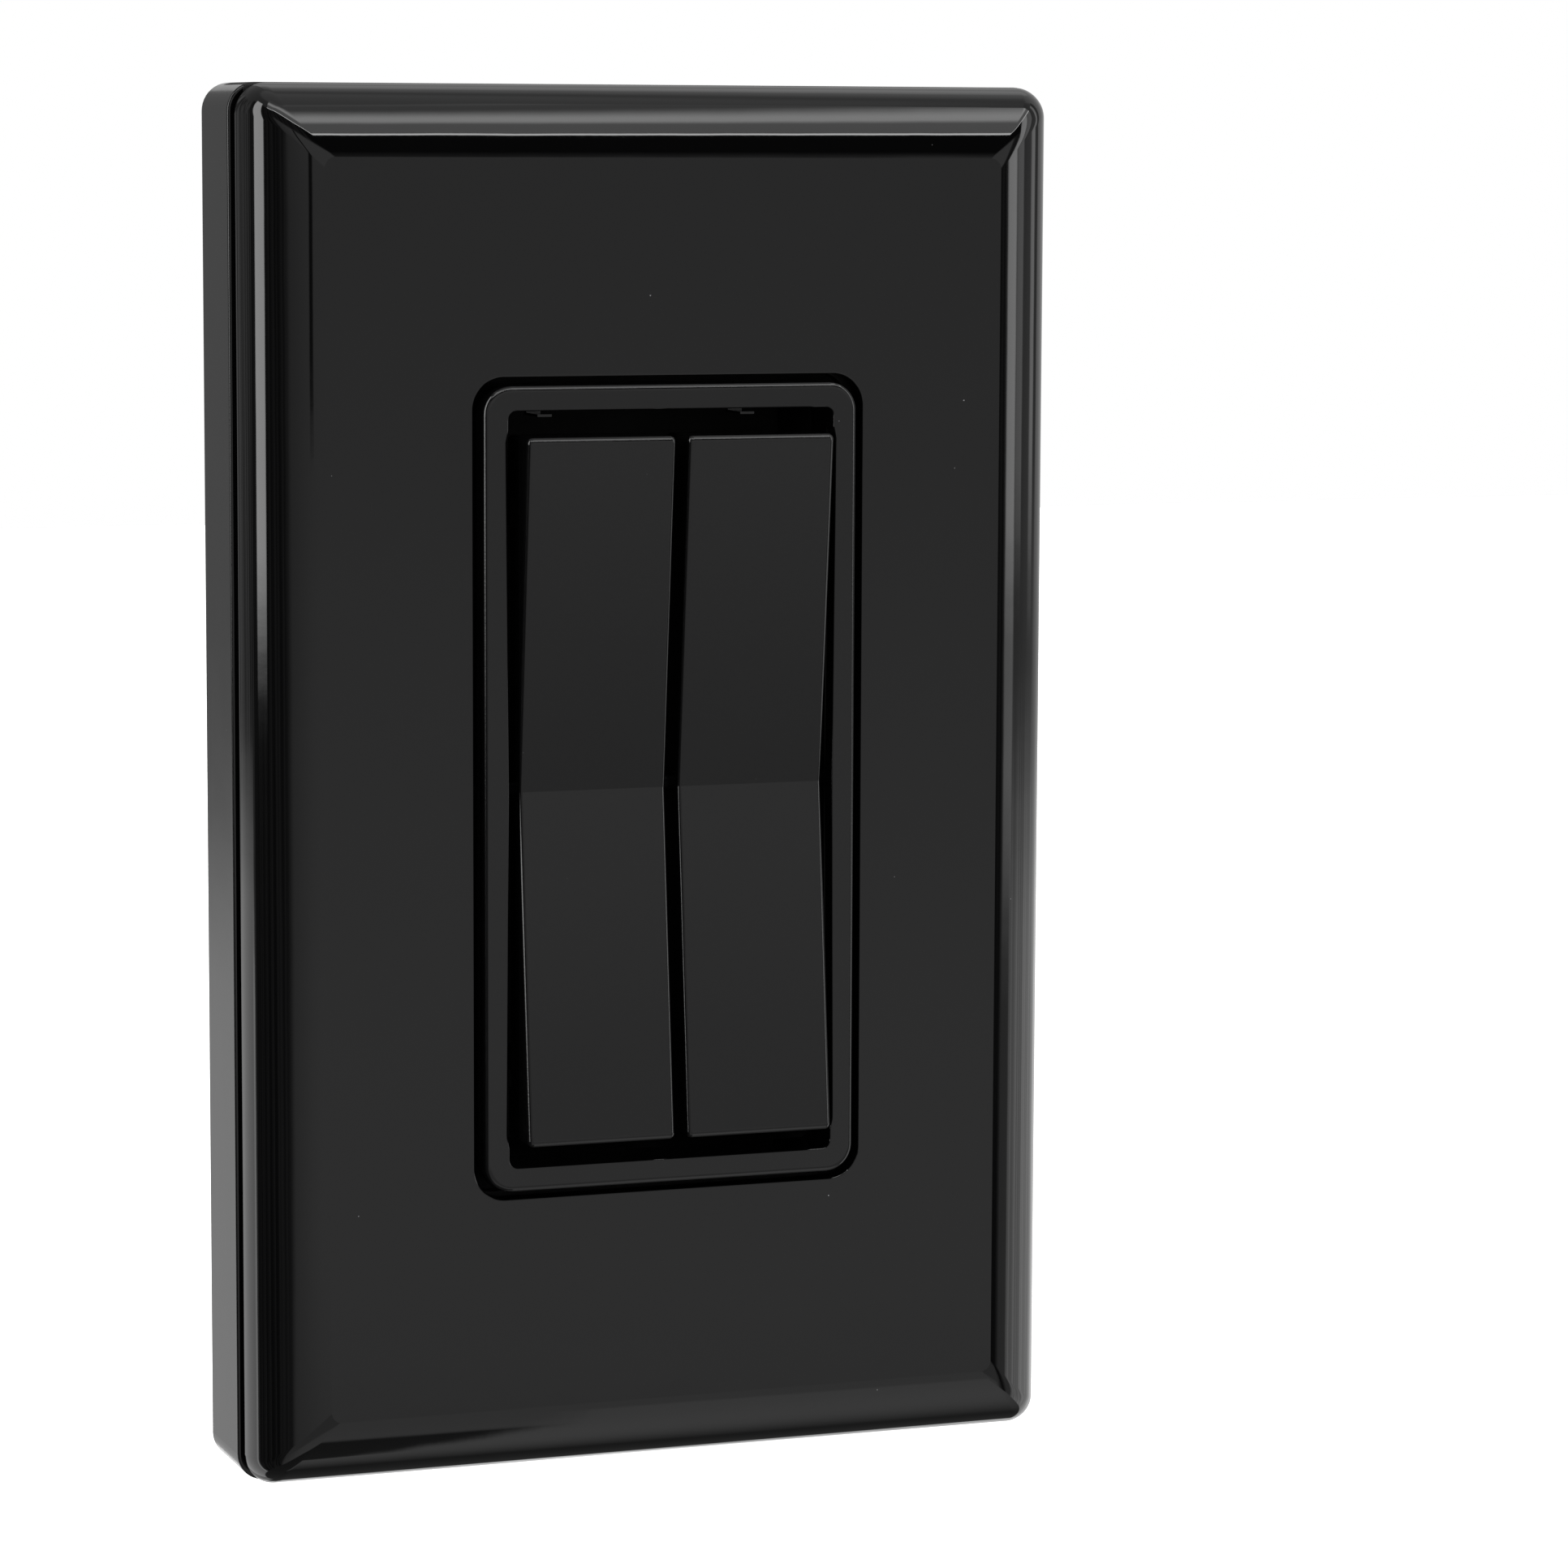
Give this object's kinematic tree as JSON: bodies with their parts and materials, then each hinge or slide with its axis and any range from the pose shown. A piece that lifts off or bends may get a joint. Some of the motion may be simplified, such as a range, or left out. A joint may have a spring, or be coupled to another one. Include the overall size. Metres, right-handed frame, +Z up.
{
  "type": "rocker wall switch",
  "caption": "Surface-mounted wireless wall switch: glossy screwless plate with rolled border, satin bezel and side-by-side momentary rockers with concave V faces.",
  "frame": {"origin": "centre of the back mounting face, which lies on the wall", "axes": "+X to the right as seen from the room, +Z up, +Y into the wall; the rockers face -Y"},
  "size_m": [0.0698, 0.018, 0.1134],
  "materials": {
    "plate_gloss": "polished black moulding",
    "frame_plastic": "semi-gloss black moulding",
    "device_satin": "satin black moulding",
    "rocker_satin": "satin black moulding, fine texture",
    "inner_plastic": "plain black moulding",
    "module_plastic": "dark grey moulding",
    "plunger_plastic": "natural acetal",
    "lever_plastic": "glass-filled nylon",
    "bobbin_plastic": "natural nylon",
    "pad_foam": "closed-cell foam with adhesive",
    "screw_steel": "zinc plated",
    "axle_steel": "ground pin",
    "axle_black": "ground pin, black oxide",
    "spring_steel": "spring temper",
    "core_iron": "soft iron",
    "can_metal": "nickel plated",
    "magnet_nickel": "nickel plated",
    "winding_copper": "enamelled copper wire",
    "antenna_copper": "bare copper strip",
    "board_laminate": "green solder resist",
    "chip_resin": "moulded epoxy",
    "capacitor_ceramic": "ceramic"
  },
  "bodies": {
    "housing": {"wall_plate": "plate_gloss", "sub_plate": "inner_plastic", "sub_plate_screws": "screw_steel", "back_frame": "frame_plastic", "adhesive_pads": "pad_foam", "device_frame": "device_satin", "frame_screws": "screw_steel", "rocker_axle": "axle_black", "module_base": "module_plastic", "module_cover": "inner_plastic", "lever_pins": "axle_steel", "iron_core": "core_iron", "coil_bobbin": "bobbin_plastic", "coil_winding": "winding_copper", "circuit_board": "board_laminate", "radio_chip": "chip_resin", "crystal": "can_metal", "storage_capacitors": "capacitor_ceramic", "contact_domes": "can_metal", "antenna": "antenna_copper"},
    "left_rocker": {"rocker_left": "rocker_satin", "rocker_carrier_left": "inner_plastic"},
    "right_rocker": {"rocker_right": "rocker_satin", "rocker_carrier_right": "inner_plastic"},
    "plunger_upper_left": {"plunger_upper_left": "plunger_plastic"},
    "plunger_lower_left": {"plunger_lower_left": "plunger_plastic"},
    "plunger_upper_right": {"plunger_upper_right": "plunger_plastic"},
    "plunger_lower_right": {"plunger_lower_right": "plunger_plastic"},
    "left_lever": {"energy_lever_left": "lever_plastic"},
    "right_lever": {"energy_lever_right": "lever_plastic"},
    "magnet_holder": {"magnet_carrier": "lever_plastic", "magnet": "magnet_nickel", "pole_plates": "core_iron", "leaf_spring": "spring_steel"}
  },
  "joints": [
    {"name": "left_rocker_tilt", "type": "hinge", "parent": "housing", "child": "left_rocker", "pos_m": [-0.00678, -0.0122, 0], "axis": [1, 0, 0], "range_deg": [-5, 5], "stiffness_Nm_per_rad": 0.09},
    {"name": "right_rocker_tilt", "type": "hinge", "parent": "housing", "child": "right_rocker", "pos_m": [0.00678, -0.0122, 0], "axis": [1, 0, 0], "range_deg": [-5, 5], "stiffness_Nm_per_rad": 0.09},
    {"name": "plunger_upper_left_travel", "type": "slide", "parent": "housing", "child": "plunger_upper_left", "axis": [0, -1, 0], "range_m": [-0.0012, 0.0012]},
    {"name": "plunger_upper_right_travel", "type": "slide", "parent": "housing", "child": "plunger_upper_right", "axis": [0, -1, 0], "range_m": [-0.0012, 0.0012]},
    {"name": "plunger_lower_left_travel", "type": "slide", "parent": "housing", "child": "plunger_lower_left", "axis": [0, -1, 0], "range_m": [-0.0012, 0.0012]},
    {"name": "plunger_lower_right_travel", "type": "slide", "parent": "housing", "child": "plunger_lower_right", "axis": [0, -1, 0], "range_m": [-0.0012, 0.0012]},
    {"name": "left_lever_tilt", "type": "hinge", "parent": "housing", "child": "left_lever", "pos_m": [-0.009, -0.0062, 0], "axis": [1, 0, 0], "range_deg": [-5.5, 5.5]},
    {"name": "right_lever_tilt", "type": "hinge", "parent": "housing", "child": "right_lever", "pos_m": [0.009, -0.0062, 0], "axis": [1, 0, 0], "range_deg": [-5.5, 5.5]},
    {"name": "magnet_snap", "type": "hinge", "parent": "housing", "child": "magnet_holder", "pos_m": [0, -0.0066, 0.011], "axis": [-1, 0, 0], "range_deg": [0, 3], "stiffness_Nm_per_rad": 0.02}
  ],
  "couplings": [
    {"joint": "plunger_upper_left_travel", "follows": "left_rocker_tilt", "m_per_rad": 0.013},
    {"joint": "plunger_upper_right_travel", "follows": "right_rocker_tilt", "m_per_rad": 0.013},
    {"joint": "plunger_lower_left_travel", "follows": "left_rocker_tilt", "m_per_rad": -0.013},
    {"joint": "plunger_lower_right_travel", "follows": "right_rocker_tilt", "m_per_rad": -0.013},
    {"joint": "left_lever_tilt", "follows": "left_rocker_tilt", "ratio": 1},
    {"joint": "right_lever_tilt", "follows": "right_rocker_tilt", "ratio": 1}
  ]
}
